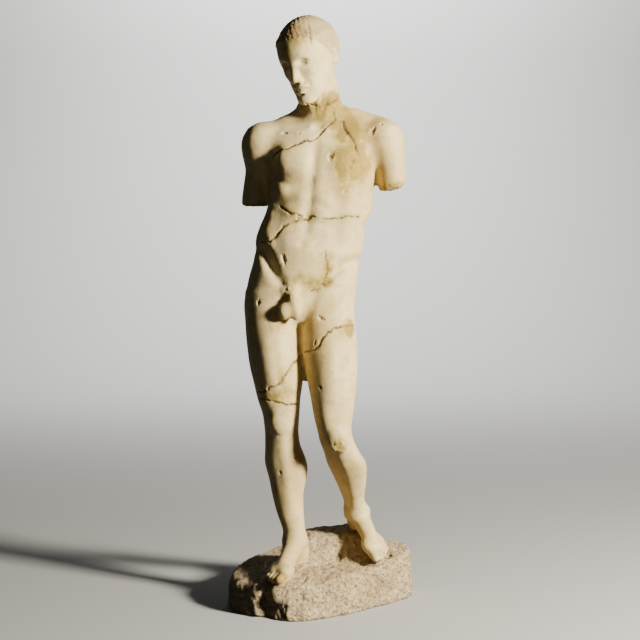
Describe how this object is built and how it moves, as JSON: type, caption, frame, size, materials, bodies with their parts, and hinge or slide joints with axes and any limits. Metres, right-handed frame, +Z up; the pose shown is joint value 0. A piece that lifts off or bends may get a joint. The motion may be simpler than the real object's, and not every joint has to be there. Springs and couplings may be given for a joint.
{
  "type": "statue",
  "caption": "Life-size standing nude male marble figure in an ancient manner, arms broken off above the elbow, weight on one leg, on a rough rock plinth of the same block",
  "frame": {"origin": "on the ground, under the middle of the rock plinth's own box", "axes": "+Z up through the figure, the figure's chest faces -Y, and its right arm stump is on -X"},
  "size_m": [0.6022, 0.461, 1.8539],
  "materials": {
    "marble": "worn polish on the figure, rough on the rock"
  },
  "bodies": {
    "root": {"statue_on_rock_plinth": "marble"}
  },
  "joints": []
}
